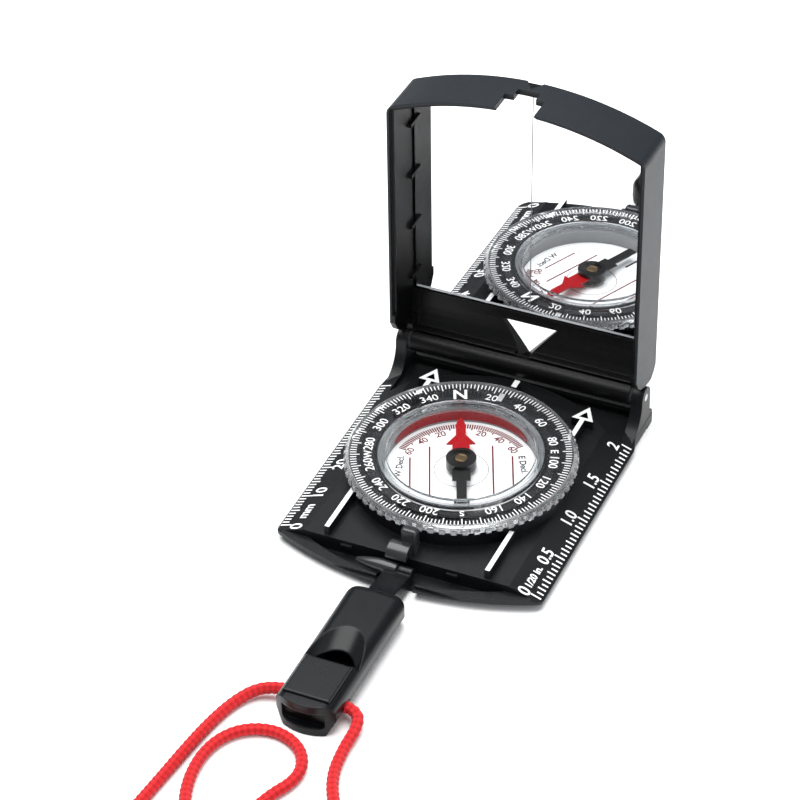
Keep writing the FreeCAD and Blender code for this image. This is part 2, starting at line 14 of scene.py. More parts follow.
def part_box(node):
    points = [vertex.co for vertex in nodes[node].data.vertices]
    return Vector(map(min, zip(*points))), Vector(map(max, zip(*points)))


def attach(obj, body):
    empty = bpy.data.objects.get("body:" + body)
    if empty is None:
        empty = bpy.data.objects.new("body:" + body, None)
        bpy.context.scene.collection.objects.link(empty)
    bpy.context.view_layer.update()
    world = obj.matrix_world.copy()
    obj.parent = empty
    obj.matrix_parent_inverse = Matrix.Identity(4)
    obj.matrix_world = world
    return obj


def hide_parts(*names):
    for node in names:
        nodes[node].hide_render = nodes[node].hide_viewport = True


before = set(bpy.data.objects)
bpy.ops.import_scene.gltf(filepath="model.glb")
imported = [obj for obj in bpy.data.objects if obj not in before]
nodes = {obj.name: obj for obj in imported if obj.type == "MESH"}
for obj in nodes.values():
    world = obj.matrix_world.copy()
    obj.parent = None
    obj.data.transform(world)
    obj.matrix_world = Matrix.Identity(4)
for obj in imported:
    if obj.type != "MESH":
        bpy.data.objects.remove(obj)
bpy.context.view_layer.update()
MM = 0.001
print("nodes in the frame:", len(nodes))

# %% [markdown]
# ## Writing shaders as sums
# A surface is easier to read as a formula than as a drawing of nodes. A small class wraps
# a socket, so that `1 - mask * 0.3` adds the Math nodes, and one method makes any other
# node from its type, its settings and its inputs.

# %% A socket that can be used in a sum
class Value:
    """The output of a node, usable with + - * and with numbers on either side."""

    def __init__(self, finish, socket):
        self.finish = finish
        self.socket = socket

    def math(self, operation, *inputs):
        return self.finish.node("ShaderNodeMath", {"operation": operation}, dict(enumerate(inputs)))

    def __add__(self, other): return self.math("ADD", self, other)
    def __radd__(self, other): return self.math("ADD", other, self)
    def __sub__(self, other): return self.math("SUBTRACT", self, other)
    def __rsub__(self, other): return self.math("SUBTRACT", other, self)
    def __mul__(self, other): return self.math("MULTIPLY", self, other)
    def __rmul__(self, other): return self.math("MULTIPLY", other, self)
    def cosine(self): return self.math("COSINE", self)
    def clamped(self): return self.math("MINIMUM", self.math("MAXIMUM", self, 0.0), 1.0)


# %% A finish: one material and its nodes
class Finish:
    """A Principled material whose nodes are added one at a time."""

    def __init__(self, name, **constants):
        self.material = bpy.data.materials.new(name)
        self.material.use_nodes = True
        self.tree = self.material.node_tree
        self.shader = self.tree.nodes["Principled BSDF"]
        for socket, value in constants.items():
            self.shader.inputs[socket.replace("_", " ")].default_value = value

    def node(self, kind, settings, inputs, output=0):
        made = self.tree.nodes.new(kind)
        for name, value in settings.items():
            setattr(made, name, value)
        for name, value in inputs.items():
            if isinstance(value, Value):
                self.tree.links.new(value.socket, made.inputs[name])
            else:
                made.inputs[name].default_value = value
        return Value(self, made.outputs[output])

    def feed(self, **values):
        for socket, value in values.items():
            self.tree.links.new(value.socket, self.shader.inputs[socket.replace("_", " ")])

    def place(self):
        return self.node("ShaderNodeTexCoord", {}, {}, "Object")

    def noise(self, per_metre, detail=3.0, roughness=0.5):
        inputs = {"Vector": self.place(), "Scale": per_metre,
                  "Detail": detail, "Roughness": roughness}
        return self.node("ShaderNodeTexNoise", {}, inputs, "Fac")

    def blend(self, share, dark, light):
        """A colour between two. Sockets 6, 7 and 2 are the Mix node's colours A, B and Result."""
        return self.node("ShaderNodeMix", {"data_type": "RGBA"},
                         {"Factor": share, 6: dark, 7: light}, 2)

    def bump(self, height, depth, strength=1.0, edge=None):
        inputs = {"Height": height, "Distance": depth, "Strength": strength}
        if edge:
            inputs["Normal"] = self.node("ShaderNodeBevel", {"samples": 4}, {"Radius": edge})
        return self.node("ShaderNodeBump", {}, inputs)


def rgb(red, green, blue):
    return (red, green, blue, 1.0)


def add_object(name, data):
    """A new object in the scene."""
    made = bpy.data.objects.new(name, data)
    bpy.context.scene.collection.objects.link(made)
    return made


def evaluated_mesh(holder):
    """The mesh of a curve or text object as it stands in the scene."""
    bpy.context.view_layer.update()
    return bpy.data.meshes.new_from_object(
        holder.evaluated_get(bpy.context.evaluated_depsgraph_get()))


# %% [markdown]
# ## The black mouldings
# The plate, the lid and the whistle are moulded in black plastic with a fine spark-eroded
# grain. The grain is about a third of a millimetre across, so it breaks the highlights
# into a soft speckle. A rounded edge catches the light, and the Bevel node gives the
# sharp edges of the solid that small round.

# %% Grained black plastic
GRAIN_PER_METRE = 3200.0
DRIFT_PER_METRE = 55.0
HANDLING_PER_METRE = 260.0
# The near-black that grained_plastic puts where its mask is nought is painted shade.
INNER_PAINTED_SHADE = rgb(0.0015, 0.0015, 0.0018)


def grained_plastic(name, dark, light, low_gloss, high_gloss, grain_depth, edge,
                    shine=0.22, outside=None):
    """Black plastic. Where the mask that outside makes is nought, painted shade makes it nearly
    black.
    """
    finish = Finish(name, Specular_IOR_Level=shine, IOR=1.5)
    grain = finish.noise(GRAIN_PER_METRE, 2.0, 0.6)
    drift = finish.noise(DRIFT_PER_METRE, 3.0, 0.5)
    handling = finish.noise(HANDLING_PER_METRE, 5.0, 0.65)
    shade = (drift * 0.6 + grain * 0.4).clamped()
    colour = finish.blend(shade, dark, light)
    if outside:
        colour = finish.blend(outside(finish), INNER_PAINTED_SHADE, colour)
    finish.feed(Base_Color=colour,
                Roughness=low_gloss + (high_gloss - low_gloss) * (handling * 0.55 + grain * 0.45),
                Normal=finish.bump(grain, grain_depth, 1.0, edge))
    return finish.material


plate_black = grained_plastic(
    "plate_black", rgb(0.0028, 0.0031, 0.0037), rgb(0.0065, 0.0072, 0.0085),
    low_gloss=0.28, high_gloss=0.46, grain_depth=0.00005, edge=0.00022)

# The lid's outer walls, in metres: flat sides, and an end wall that falls away as a parabola.
LID_SIDE_X = 0.0275
LID_END_Z = 0.0762
LID_END_FALL = 7.42
LID_MASK_RISE = 4000.0


def lid_outside(finish):
    """One on the outer faces of the lid's side and end walls, nought on everything inside them,
    where painted shade goes.
    """
    x = finish.node("ShaderNodeSeparateXYZ", {}, {"Vector": finish.place()}, "X")
    z = Value(finish, x.socket.node.outputs["Z"])
    side = ((x.math("ABSOLUTE", x) - LID_SIDE_X) * LID_MASK_RISE).clamped()
    end = ((z - LID_END_Z + LID_END_FALL * x * x) * LID_MASK_RISE).clamped()
    return (side + end).clamped()


# The lid's inner faces are painted nearly black as shade; its outer walls keep the plastic's
# colour.
lid_black = grained_plastic(
    "lid_black", rgb(0.0085, 0.0105, 0.0135), rgb(0.019, 0.0225, 0.027),
    low_gloss=0.30, high_gloss=0.48, grain_depth=0.00005, edge=0.00030, shine=0.2,
    outside=lid_outside)
whistle_black = grained_plastic(
    "whistle_black", rgb(0.0028, 0.0032, 0.0038), rgb(0.0055, 0.0062, 0.0072),
    low_gloss=0.22, high_gloss=0.36, grain_depth=0.00001, edge=0.00045)
clip_grey = grained_plastic(
    "clip_grey", rgb(0.010, 0.011, 0.012), rgb(0.028, 0.030, 0.032),
    low_gloss=0.20, high_gloss=0.30, grain_depth=0.00001, edge=0.00020, shine=0.45)
ring_black = grained_plastic(
    "ring_black", rgb(0.004, 0.004, 0.005), rgb(0.008, 0.008, 0.009),
    low_gloss=0.30, high_gloss=0.45, grain_depth=0.00001, edge=0.0001)
black_plastics = (plate_black, lid_black, whistle_black, clip_grey, ring_black)
print("black plastics:", len(black_plastics))

# %% [markdown]
# ## Clear parts
# The turning ring is thick clear acrylic, so it bends the light at its knurled edge; over
# the knurls a pale diffuse layer is mixed in as painted light. The capsule's cup wall is a
# pale grey, part opaque, as painted light. The capsule's window is thin, and what matters
# there is that the card below stays bright: it is a nearly transparent sheet with a hard gloss.

# %% Clear acrylic, as a solid and as a window
ACRYLIC_IOR = 1.49
MARKS_PER_METRE = 420.0
WINDOW_MARKS_PER_METRE = 300.0
RIM_RADIUS = 0.0231
RIM_MASK_RISE = 5000.0


def clear_solid(name, tint, smear):
    finish = Finish(name, Transmission_Weight=1.0, IOR=ACRYLIC_IOR, Base_Color=tint)
    marks = finish.noise(MARKS_PER_METRE, 4.0, 0.6)
    finish.feed(Roughness=smear + 0.05 * marks, Normal=finish.bump(marks, 0.00001, 0.5))
    return finish.material


def clear_window(name, tint, opacity):
    finish = Finish(name, IOR=ACRYLIC_IOR, Base_Color=tint, Specular_IOR_Level=0.5)
    marks = finish.noise(WINDOW_MARKS_PER_METRE, 4.0, 0.6)
    finish.feed(Roughness=0.02 + 0.06 * marks, Alpha=opacity + 0.04 * marks)
    return finish.material


def scuffed_rim(name):
    """Clear acrylic with a pale diffuse layer mixed in beyond RIM_RADIUS, where the knurls are, as
    painted light.
    """
    finish = Finish(name, Transmission_Weight=1.0, IOR=ACRYLIC_IOR,
                    Base_Color=rgb(0.96, 0.97, 0.98))
    marks = finish.noise(MARKS_PER_METRE, 4.0, 0.6)
    finish.feed(Roughness=0.02 + 0.04 * marks, Normal=finish.bump(marks, 0.00001, 0.5))
    # The pale shader mixed in over the knurls paints light into the clear ring.
    pale = finish.node("ShaderNodeBsdfPrincipled", {},
                       {"Base Color": rgb(0.80, 0.82, 0.83), "Roughness": 0.2})
    across = finish.node("ShaderNodeVectorMath", {"operation": "MULTIPLY"},
                         {0: finish.place(), 1: (1, 1, 0)})
    radius = finish.node("ShaderNodeVectorMath", {"operation": "LENGTH"}, {0: across}, "Value")
    rim = ((radius - RIM_RADIUS) * RIM_MASK_RISE).clamped()
    clear = Value(finish, finish.shader.outputs[0])
    both = finish.node("ShaderNodeMixShader", {},
                       {0: rim * (0.03 + 0.20 * marks), 1: clear, 2: pale})
    finish.tree.links.new(both.socket, finish.tree.nodes["Material Output"].inputs["Surface"])
    return finish.material


ring_clear_with_painted_light = scuffed_rim("ring_clear_with_painted_light")
# The cup wall's pale grey, part opaque, is painted light in the clear wall.
cup_pale_painted_light = clear_window("cup_pale_painted_light", rgb(0.68, 0.70, 0.72), 0.36)
rim_clear = clear_solid("rim_clear", rgb(0.92, 0.94, 0.95), 0.01)
seal_grey = clear_window("seal_grey", rgb(0.45, 0.46, 0.48), 0.12)
lens_clear = clear_window("lens_clear", rgb(0.02, 0.02, 0.02), 0.015)
hub_clear = clear_window("hub_clear", rgb(0.012, 0.012, 0.012), 0.85)

# %% [markdown]
# ## Card, print and paint
# Printed lines are a film a few hundredths of a millimetre thick. They are made as thin
# real shapes, because a picture of them would blur. Their ink is slightly uneven.

# %% Inks and the card
def ink(name, thin, full, gloss):
    finish = Finish(name, Specular_IOR_Level=0.4)
    cover = finish.noise(1800.0, 3.0, 0.6)
    finish.feed(Base_Color=finish.blend(cover, thin, full), Roughness=gloss + 0.2 * cover)
    return finish.material


white_ink = ink("white_ink", rgb(0.70, 0.71, 0.72), rgb(0.92, 0.92, 0.91), 0.4)
red_ink = ink("red_ink", rgb(0.09, 0.003, 0.008), rgb(0.15, 0.005, 0.012), 0.4)
needle_reflection_red = ink("needle_reflection_red", rgb(0.20, 0.006, 0.010), rgb(0.36, 0.012, 0.016), 0.2)
black_ink = ink("black_ink", rgb(0.012, 0.012, 0.012), rgb(0.03, 0.03, 0.03), 0.4)
card_white = ink("card_white", rgb(0.84, 0.86, 0.87), rgb(0.93, 0.94, 0.94), 0.35)
needle_red = ink("needle_red", rgb(0.28, 0.002, 0.005), rgb(0.40, 0.004, 0.008), 0.2)
needle_black = ink("needle_black", rgb(0.008, 0.008, 0.008), rgb(0.016, 0.016, 0.016), 0.22)
foam = ink("foam", rgb(0.55, 0.55, 0.53), rgb(0.68, 0.68, 0.66), 0.6)
line_grey = ink("line_grey", rgb(0.10, 0.10, 0.11), rgb(0.16, 0.16, 0.17), 0.5)
painted_highlight_grey = ink("painted_highlight_grey", rgb(0.45, 0.48, 0.50), rgb(0.65, 0.68, 0.70), 0.25)

# %% [markdown]
# ## Metal, rubber and the mirror
# Steel and brass are turned parts, so fine rings run round them. The mirror is plain
# silvered glass, with a trace of haze from handling.

# %% Turned metal, rubber and silvered glass
def turned_metal(name, colour, dull, rings_per_metre):
    finish = Finish(name, Metallic=1.0)
    rings = finish.node("ShaderNodeTexWave", {"wave_type": "RINGS"},
                        {"Vector": finish.place(), "Scale": rings_per_metre,
                         "Distortion": 1.0}, "Fac")
    stain = finish.noise(700.0, 4.0, 0.6)
    worn = rgb(colour[0] * 0.7, colour[1] * 0.7, colour[2] * 0.7)
    finish.feed(Base_Color=finish.blend(stain, worn, colour), Roughness=dull + 0.15 * rings,
                Normal=finish.bump(rings, 0.000005, 0.4))
    return finish.material


steel = turned_metal("steel", rgb(0.66, 0.66, 0.67), 0.22, 2500.0)
magnet_steel = turned_metal("magnet_steel", rgb(0.25, 0.25, 0.26), 0.35, 2500.0)
jewel_brass = turned_metal("jewel_brass", rgb(0.72, 0.50, 0.28), 0.20, 3500.0)
rubber = ink("rubber", rgb(0.012, 0.012, 0.012), rgb(0.022, 0.022, 0.022), 0.65)

silvering = Finish("silvering", Metallic=1.0)
haze = silvering.noise(120.0, 5.0, 0.65)
silvering.feed(Base_Color=silvering.blend(haze, rgb(0.86, 0.87, 0.88), rgb(0.92, 0.93, 0.94)),
               Roughness=0.004 + 0.012 * haze)
mirror = silvering.material

# %% [markdown]
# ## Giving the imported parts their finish
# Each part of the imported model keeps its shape. Only its material is exchanged.

# %% One finish for each part
finish_of = {
    "base_plate": plate_black, "catch_clip": clip_grey, "dial_friction_ring": rubber,
    "hinge_pin_left": steel, "hinge_pin_right": steel,
    "friction_washer_left": rubber, "friction_washer_right": rubber,
    "bezel_ring": ring_clear_with_painted_light, "capsule_base": cup_pale_painted_light, "capsule_retaining_ring": ring_black,
    "meridian_plate": card_white, "pivot_post": steel, "capsule_seal": seal_grey,
    "capsule_lens": lens_clear, "lens_rim": rim_clear,
    "needle_north": needle_red, "needle_south": needle_black, "needle_magnet": magnet_steel,
    "needle_hub": hub_clear, "needle_jewel": jewel_brass,
    "lid_shell": lid_black, "mirror_glass": mirror, "mirror_pad": foam,
    "toggle_bar": clip_grey, "whistle_neck": whistle_black,
    "whistle_body": whistle_black, "whistle_mouth_block": whistle_black,
}
for name, material in finish_of.items():
    slots = nodes[name].data.materials
    slots.clear()
    slots.append(material)
print("finished parts:", len(finish_of))

# %% [markdown]
# ## A printer
# Scales, numbers and lines are flat shapes laid on a surface. The printer collects thin
# prisms and letters, each with a matrix that lays the paper's X and Y on the part, and
# turns them into one mesh.

# %% Thin prisms and letters in one mesh
SINK = 0.01


class Print:
    """Collects flat shapes, in millimetres, and makes one thin piece of them."""

    def __init__(self, thickness=0.04):
        self.points = []
        self.faces = []
        self.thickness = thickness

    def shape(self, place, corners):
        """A prism of the corners, which run anticlockwise, from a hair under the paper upwards."""
        count = len(corners)
        base = len(self.points)
        for height in (-SINK, self.thickness):
            self.points += [place @ Vector((x, y, height)) for x, y in corners]
        ring = list(range(count))
        self.faces.append([base + count + i for i in ring])
        self.faces.append([base + i for i in reversed(ring)])
        for i in ring:
            j = (i + 1) % count
            self.faces.append([base + i, base + j, base + count + j, base + count + i])

    def bar(self, place, x0, x1, y0, y1):
        self.shape(place, [(x0, y0), (x1, y0), (x1, y1), (x0, y1)])

    def band(self, place, inner, outer, start, end, steps):
        """A piece of a ring between two bearings, in degrees clockwise from +Y."""
        for i in range(steps):
            a = math.radians(start + (end - start) * i / steps)
            b = math.radians(start + (end - start) * (i + 1) / steps)
            self.shape(place, [(inner * math.sin(a), inner * math.cos(a)),
                               (inner * math.sin(b), inner * math.cos(b)),
                               (outer * math.sin(b), outer * math.cos(b)),
                               (outer * math.sin(a), outer * math.cos(a))])

    def words(self, place, text, size, weight=0.0):
        """A line of text, centred on the place, in the built-in typeface."""
        curve = bpy.data.curves.new("words", "FONT")
        curve.body = text
        curve.size = size
        curve.align_x = "CENTER"
        curve.align_y = "CENTER"
        curve.extrude = self.thickness / 2
        curve.offset = weight
        curve.resolution_u = 4
        holder = add_object("words", curve)
        mesh = evaluated_mesh(holder)
        base = len(self.points)
        lift = self.thickness / 2 - SINK / 2
        self.points += [place @ (v.co + Vector((0, 0, lift))) for v in mesh.vertices]
        self.faces += [[base + i for i in face.vertices] for face in mesh.polygons]
        bpy.data.objects.remove(holder)
        bpy.data.curves.remove(curve)
        bpy.data.meshes.remove(mesh)

    def piece(self, name, material, body):
        mesh = bpy.data.meshes.new(name)
        mesh.from_pydata([p * MM for p in self.points], [], self.faces)
        mesh.materials.append(material)
        made = add_object(name, mesh)
        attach(made, body)
        print(name, "faces:", len(self.faces))
        return made


def paper(origin, x_axis, y_axis):
    """The matrix that lays a paper's X and Y along two directions from a point."""
    x = Vector(x_axis).normalized()
    y = Vector(y_axis).normalized()
    z = x.cross(y)
    rows = [[x[i], y[i], z[i], origin[i]] for i in range(3)]
    return Matrix(rows + [[0, 0, 0, 1]])


# %% [markdown]
# ## The scales on the two edges
# Both strips slope down from the panel to the thin edge of the plate, so their paper
# slopes too. Lines start at the outer edge; the numbers stand on the inner side, and read
# from the front of the plate to the back.

# %% Millimetres on the left, twentieths of an inch on the right
STRIP_IN = Vector((22.5, 0, 4.8))
STRIP_OUT = Vector((28.9, 0, 2.5))
INCH = 25.4
SCALE_WEIGHT = 0.05


def strip_paper(side):
    """Paper whose X runs back along the strip and whose Y runs towards -X, up the letters."""
    outer = Vector((side * STRIP_OUT.x, 0, STRIP_OUT.z))
    slope = Vector((-(STRIP_OUT.x - STRIP_IN.x), 0, side * (STRIP_IN.z - STRIP_OUT.z)))
    return paper(outer, (0, 1, 0), slope)


def graduations(sheet, side, start, step, count, long_every, half_every, long, half, short, width):
    """Lines of three lengths, each a bar across the strip from its outer edge."""
    for i in range(count + 1):
        reach = long if i % long_every == 0 else half if i % half_every == 0 else short
        y = start + i * step
        low, high = (0.0, reach) if side > 0 else (-reach, 0.0)
        sheet.bar(strip_paper(side), y - width / 2, y + width / 2, low, high)


def strip_words(sheet, side, y, inward, text, size):
    """Text whose middle is a distance in from the outer ends of the lines."""
    across = inward if side > 0 else -inward
    sheet.words(strip_paper(side) @ Matrix.Translation((y, across, 0)), text, size, SCALE_WEIGHT)


LEFT_ZERO = -26.8
left_scale = Print()
graduations(left_scale, -1, LEFT_ZERO, step=1.0, count=50, long_every=10, half_every=5,
            long=2.6, half=2.1, short=1.6, width=0.34)
strip_words(left_scale, -1, LEFT_ZERO - 0.5, 4.2, "0", 4.0)
strip_words(left_scale, -1, LEFT_ZERO + 4.6, 4.0, "mm", 3.2)
for tens in (10, 20, 30, 40):
    strip_words(left_scale, -1, LEFT_ZERO + tens + 1.0, 4.1, str(tens), 3.7)
left_scale.piece("scale_millimetres", white_ink, "base")

RIGHT_ZERO = -27.4
right_scale = Print()
graduations(right_scale, 1, RIGHT_ZERO, step=INCH / 20, count=40, long_every=10, half_every=2,
            long=2.3, half=1.8, short=1.4, width=0.36)
strip_words(right_scale, 1, RIGHT_ZERO - 0.2, 3.6, "0", 3.8)
strip_words(right_scale, 1, RIGHT_ZERO + 4.4, 3.5, "1/20 in.", 2.2)
for tenths, text in ((5, "0.5"), (10, "1.0"), (15, "1.5"), (20, "2")):
    strip_words(right_scale, 1, RIGHT_ZERO + tenths * INCH / 10 - 1.6, 3.6, text, 3.6)
right_scale.piece("scale_inches", white_ink, "base")

# %% [markdown]
# ## White paint on the raised marks
# The two direction lines and the rear index mark are low ribs with white paint on their
# tops. The paint is a hair narrower than the rib, as a roller leaves it. A second index
# mark is painted on the boss, under the clear ring.

# %% Direction lines, arrowheads and index marks
MARK_TOP = 7.0
BOSS_TOP = 8.6
RIB_X = 17.65
RIB_HALF = 0.5
RIB_FRONT = -28.2
RIB_NEAR_DIAL = 15.3
HEAD_FOOT = 23.7
HEAD_TIP = 28.1
INDEX_HALF = 0.6
flat = Matrix.Translation((0, 0, MARK_TOP))
marks = Print()
for side in (-1, 1):
    x = side * RIB_X
    marks.bar(flat, x - RIB_HALF, x + RIB_HALF, RIB_FRONT, -RIB_NEAR_DIAL)
    marks.bar(flat, x - RIB_HALF, x + RIB_HALF, RIB_NEAR_DIAL, HEAD_FOOT)
    outer = [(x - 2.4, HEAD_FOOT), (x + 2.4, HEAD_FOOT), (x, HEAD_TIP)]
    inner = [(x - 1.1, 24.4), (x + 1.1, 24.4), (x, 26.4)]
    for i in range(3):
        j = (i + 1) % 3
        marks.shape(flat, [outer[i], outer[j], inner[j], inner[i]])
marks.bar(flat, -INDEX_HALF, INDEX_HALF, 28.5, 30.9)
marks.bar(Matrix.Translation((0, 0, BOSS_TOP)), -INDEX_HALF, INDEX_HALF, 19.9, 22.7)
marks.piece("direction_paint", white_ink, "base")

# %% [markdown]
# ## The degree scale
# The dial is turned, so that north lies 23.6 degrees to the left of the direction lines
# on the plate. The number band is printed on the clear ring, over the black plate.

# %% Lines every two degrees and numbers every twenty
NORTH = 23.6
dial = Matrix.Rotation(math.radians(NORTH), 4, "Z")
RING_TOP = 10.4
LINE_OUTER, TENS_INNER, TWOS_INNER = 23.0, 21.0, 21.7
NUMBER_RADIUS = 19.25
NORTH_RADIUS = 19.3
dial_top = dial @ Matrix.Translation((0, 0, RING_TOP))


def at_bearing(surface, bearing, radius):
    """A paper's place at a bearing, with the letters' tops outwards."""
    turn = Matrix.Rotation(math.radians(-bearing), 4, "Z")
    return surface @ turn @ Matrix.Translation((0, radius, 0))


degrees = Print()
for bearing in range(0, 360, 2):
    inner = TENS_INNER if bearing % 10 == 0 else TWOS_INNER
    degrees.bar(at_bearing(dial_top, bearing, 0), -0.10, 0.10, inner, LINE_OUTER)
for bearing in range(0, 360, 20):
    if bearing == 0:
        degrees.words(at_bearing(dial_top, 0, NORTH_RADIUS), "N", 4.3, 0.09)
    elif bearing != 180:
        degrees.words(at_bearing(dial_top, bearing, NUMBER_RADIUS), str(bearing), 2.75, 0.0)
for bearing, text in ((90, "E"), (180, "S"), (270, "W")):
    degrees.words(at_bearing(dial_top, bearing, NUMBER_RADIUS), text, 2.3, 0.02)
degrees.piece("degree_scale", white_ink, "dial")

# %% [markdown]
# ## The card in the capsule
# The card shows how far magnetic north is from true north: a red fan of lines to 60
# degrees each side, four red north lines, and two black marks that the needle's tail
# is lined up with.

# %% Declination fan, north lines and lettering
CARD_TOP = 5.9
FAN_OUTER, FAN_TENS_INNER, FAN_TWOS_INNER = 15.0, 13.1, 13.6
card_top = dial @ Matrix.Translation((0, 0, CARD_TOP))
card_red = Print(0.03)
for bearing in range(-60, 61, 2):
    inner = FAN_TENS_INNER if bearing % 10 == 0 else FAN_TWOS_INNER
    card_red.bar(at_bearing(card_top, bearing, 0), -0.16, 0.16, inner, FAN_OUTER)
for x, low, high in ((6.6, -8.5, 7.7), (10.7, -5.4, 4.2)):
    for side in (-1, 1):
        card_red.bar(card_top, side * x - 0.19, side * x + 0.19, low, high)
for bearing in (20, 40, 60):
    for side in (-1, 1):
        card_red.words(at_bearing(card_top, side * bearing, 12.4), str(bearing), 2.3, 0.04)
card_red.piece("card_print_red", red_ink, "dial")

card_black = Print(0.03)
for side, text in ((-1, "W Decl."), (1, "E Decl.")):
    turn = Matrix.Rotation(math.radians(-side * 84), 4, "Z")
    card_black.words(card_top @ turn @ Matrix.Translation((0, 12.9, 0)), text, 2.0, 0.05)
    card_black.bar(card_top, side * 1.35 - 0.25, side * 1.35 + 0.25, -13.6, -9.6)
    card_black.bar(card_top, side * 10.4 - 0.45, side * 10.4 - 0.15, -6.6, -6.3)
    card_black.bar(card_top, side * 10.4 + 0.15, side * 10.4 + 0.45, -6.6, -6.3)
card_black.piece("card_print_black", black_ink, "dial")

card_grey = Print(0.02)
card_grey.band(card_top, 5.6, 5.75, 0, 360, 72)
card_grey.piece("card_ring", line_grey, "dial")

# %% [markdown]
# ## The red crescent
# On the north side the capsule's inner wall shows a magnified reflection of the needle's red
# end. It is painted as a red curved strip with a real thickness.

# %% A strip bent round the inside of the cup
TAPER_POWER = 0.35
END_HEIGHT = 0.15


def wall_strip(radius, thickness, low, high, start, end, steps):
    """A curved strip between two bearings that is lower towards its ends."""
    points = []
    faces = []
    for i in range(steps + 1):
        share = i / steps
        bearing = math.radians(start + (end - start) * share)
        taper = math.sin(math.pi * share) ** TAPER_POWER
        top = low + (high - low) * max(taper, END_HEIGHT)
        for r, z in ((radius, low), (radius - thickness, low),
                     (radius - thickness, top), (radius, top)):
            points.append(dial @ Vector((r * math.sin(bearing), r * math.cos(bearing), z)) * MM)
    for i in range(steps):
        a = 4 * i
        for k in range(4):
            j = (k + 1) % 4
            faces.append([a + k, a + j, a + 4 + j, a + 4 + k])
    faces.append([3, 2, 1, 0])
    faces.append([4 * steps + k for k in range(4)])
    return points, faces


# This red strip is a painted reflection of the needle's red end in the capsule wall.
points, faces = wall_strip(radius=15.9, thickness=0.15, low=6.5, high=9.25,
                           start=-60, end=60, steps=72)
mesh = bpy.data.meshes.new("painted_needle_reflection")
mesh.from_pydata(points, [], faces)
mesh.materials.append(needle_reflection_red)
crescent = add_object("painted_needle_reflection", mesh)
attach(crescent, "dial")
print("crescent faces:", len(faces))

# %% [markdown]
# ## The sighting line on the mirror
# A thin line runs up the middle of the mirror. The user holds the compass so that the
# line in the mirror crosses the centre of the dial. The mirror leans back 1.5 degrees, and
# along its lower edge a narrow pale strip is painted on the glass as a highlight.

# %% One thin line up the mirror, and a painted highlight along its lower edge
LEAN = math.radians(1.5)
mirror_low, mirror_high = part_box("mirror_glass")
print("mirror from", [round(c / MM, 2) for c in mirror_low],
      "to", [round(c / MM, 2) for c in mirror_high])
up_mirror = Vector((0, math.sin(LEAN), math.cos(LEAN)))
hinge = Vector((0, 33.0, 9.4))
out_of_mirror = Vector((0, -math.cos(LEAN), math.sin(LEAN)))
MIRROR_BEHIND_HINGE = 4.4
GLASS_LOW, SIGHT_LOW, SIGHT_HIGH = 11.1, 11.6, 65.0
GLASS_HALF, SIGHT_HALF = 26.4, 0.10
on_face = hinge - out_of_mirror * MIRROR_BEHIND_HINGE
sight = Print(0.02)
sight.bar(paper(on_face, (1, 0, 0), up_mirror), -SIGHT_HALF, SIGHT_HALF, SIGHT_LOW, SIGHT_HIGH)
sight.piece("sighting_line", line_grey, "lid")

# A pale flat strip along the mirror's lower edge is a painted highlight.
edge_highlight = Print(0.02)
edge_highlight.bar(paper(on_face, (1, 0, 0), up_mirror), -GLASS_HALF, GLASS_HALF, GLASS_LOW, SIGHT_LOW)
edge_highlight.piece("mirror_edge_highlight", painted_highlight_grey, "lid")

# %% [markdown]
# ## The lanyard
# A red braid, 2.5 mm thick, runs as one loop through the hole near the mouth end of the
# whistle. It lies on the table in loose curves, and the rest of its length is put away
# in a neat coil beyond the near edge of the view. The line is a smooth NURBS curve; the
# braid is a tube round it, raised where its crossing strands lie on top.

# %% The route, from one mouth of the hole to the other
# LOW is the height of the cord's centre where it lies on the table.
CORD_RADIUS = 1.25
LOW = 1.3
LEFT_ROUTE = [(-6.3, -70.5, 2.9), (-9.4, -70.5, 2.5), (-12.8, -72.2, 1.9), (-15.2, -76.2, 1.4),
              (-16.8, -82.2, LOW), (-17.9, -90.0, LOW), (-18.8, -100.0, LOW), (-20.2, -113.0, LOW),
              (-21.9, -128.0, LOW), (-22.2, -143.0, LOW)]
RIGHT_ROUTE = [(6.3, -70.5, 2.9), (8.9, -70.9, 2.6), (9.9, -74.0, 1.9), (9.6, -79.5, LOW),
               (10.6, -87.0, LOW), (14.6, -94.5, LOW), (19.5, -101.0, LOW), (18.4, -108.5, LOW),
               (12.6, -113.4, LOW), (5.0, -112.7, LOW), (0.3, -106.7, LOW), (1.2, -97.7, LOW),
               (5.4, -89.6, LOW), (2.6, -82.6, LOW), (-4.5, -79.7, LOW), (-11.5, -82.7, LOW),
               (-14.7, -89.6, LOW), (-13.9, -99.1, LOW), (-9.5, -108.6, LOW), (-1.8, -117.0, LOW),
               (6.8, -123.0, LOW), (13.0, -131.5, 2.3), (14.2, -143.0, 3.8)]
COIL_CENTRE = (-4.0, -145.0)
COIL_OUTER, COIL_INNER = 18.2, 8.9
TURNS_PER_LAYER = 3.75
POINTS_PER_TURN = 12


def coil_points():
    """Turns that wind inwards on the table, climb, and wind outwards on top."""
    pull = math.cos(math.pi / POINTS_PER_TURN)
    count = int(2 * TURNS_PER_LAYER * POINTS_PER_TURN)
    points = []
    for i in range(1, count):
        turn = i / POINTS_PER_TURN
        inward = min(turn, 2 * TURNS_PER_LAYER - turn) / TURNS_PER_LAYER
        radius = (COIL_OUTER + (COIL_INNER - COIL_OUTER) * inward) / pull
        angle = math.pi + 2 * math.pi * turn
        height = LOW if turn < TURNS_PER_LAYER else LOW + 2 * CORD_RADIUS
        points.append((COIL_CENTRE[0] + radius * math.cos(angle),
                       COIL_CENTRE[1] + radius * math.sin(angle), height))
    return points


